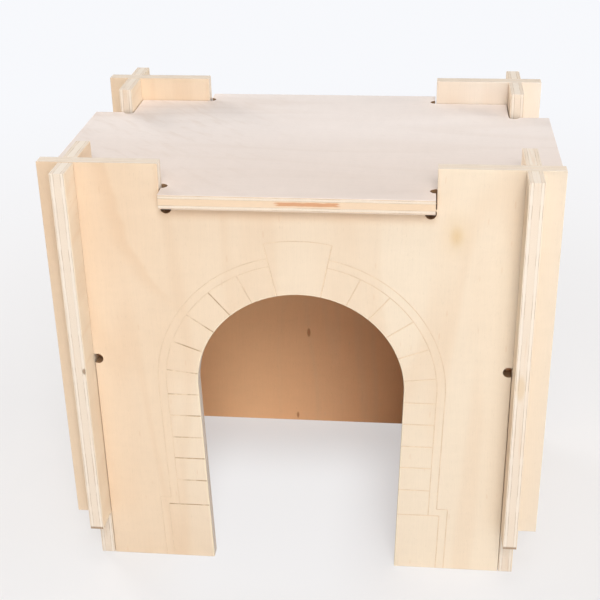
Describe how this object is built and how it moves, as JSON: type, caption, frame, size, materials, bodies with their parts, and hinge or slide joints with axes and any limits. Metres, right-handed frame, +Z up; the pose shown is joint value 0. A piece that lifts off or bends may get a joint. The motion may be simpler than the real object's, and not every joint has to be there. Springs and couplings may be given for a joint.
{
  "type": "rabbit hideout castle",
  "caption": "Flat-pack plywood pet hideout: crossed slotted walls with merlons, a round-arched doorway and a lift-off roof plate with tabs in the wall notches.",
  "frame": {"origin": "on the floor, under the middle of the object's overall box", "axes": "+Z up, -Y out of the doorway wall, +X to the right as seen from the front"},
  "size_m": [0.416, 0.3, 0.376],
  "materials": {
    "wall_plywood": "bare sanded birch plywood",
    "roof_plywood": "bare sanded birch plywood, paler and greyer"
  },
  "bodies": {
    "sides": {"left_panel": "wall_plywood", "right_panel": "wall_plywood"},
    "front": {"front_panel": "wall_plywood"},
    "back": {"back_panel": "wall_plywood"},
    "roof": {"roof_panel": "roof_plywood"}
  },
  "joints": [
    {"name": "front_lift", "type": "slide", "parent": "sides", "child": "front", "axis": [0, 0, 1], "range_m": [0, 0.215]},
    {"name": "back_lift", "type": "slide", "parent": "sides", "child": "back", "axis": [0, 0, 1], "range_m": [0, 0.215]},
    {"name": "roof_lift", "type": "slide", "parent": "front", "child": "roof", "axis": [0, 0, 1], "range_m": [0, 0.08]}
  ],
  "couplings": [
    {"joint": "back_lift", "follows": "front_lift", "ratio": 1}
  ]
}
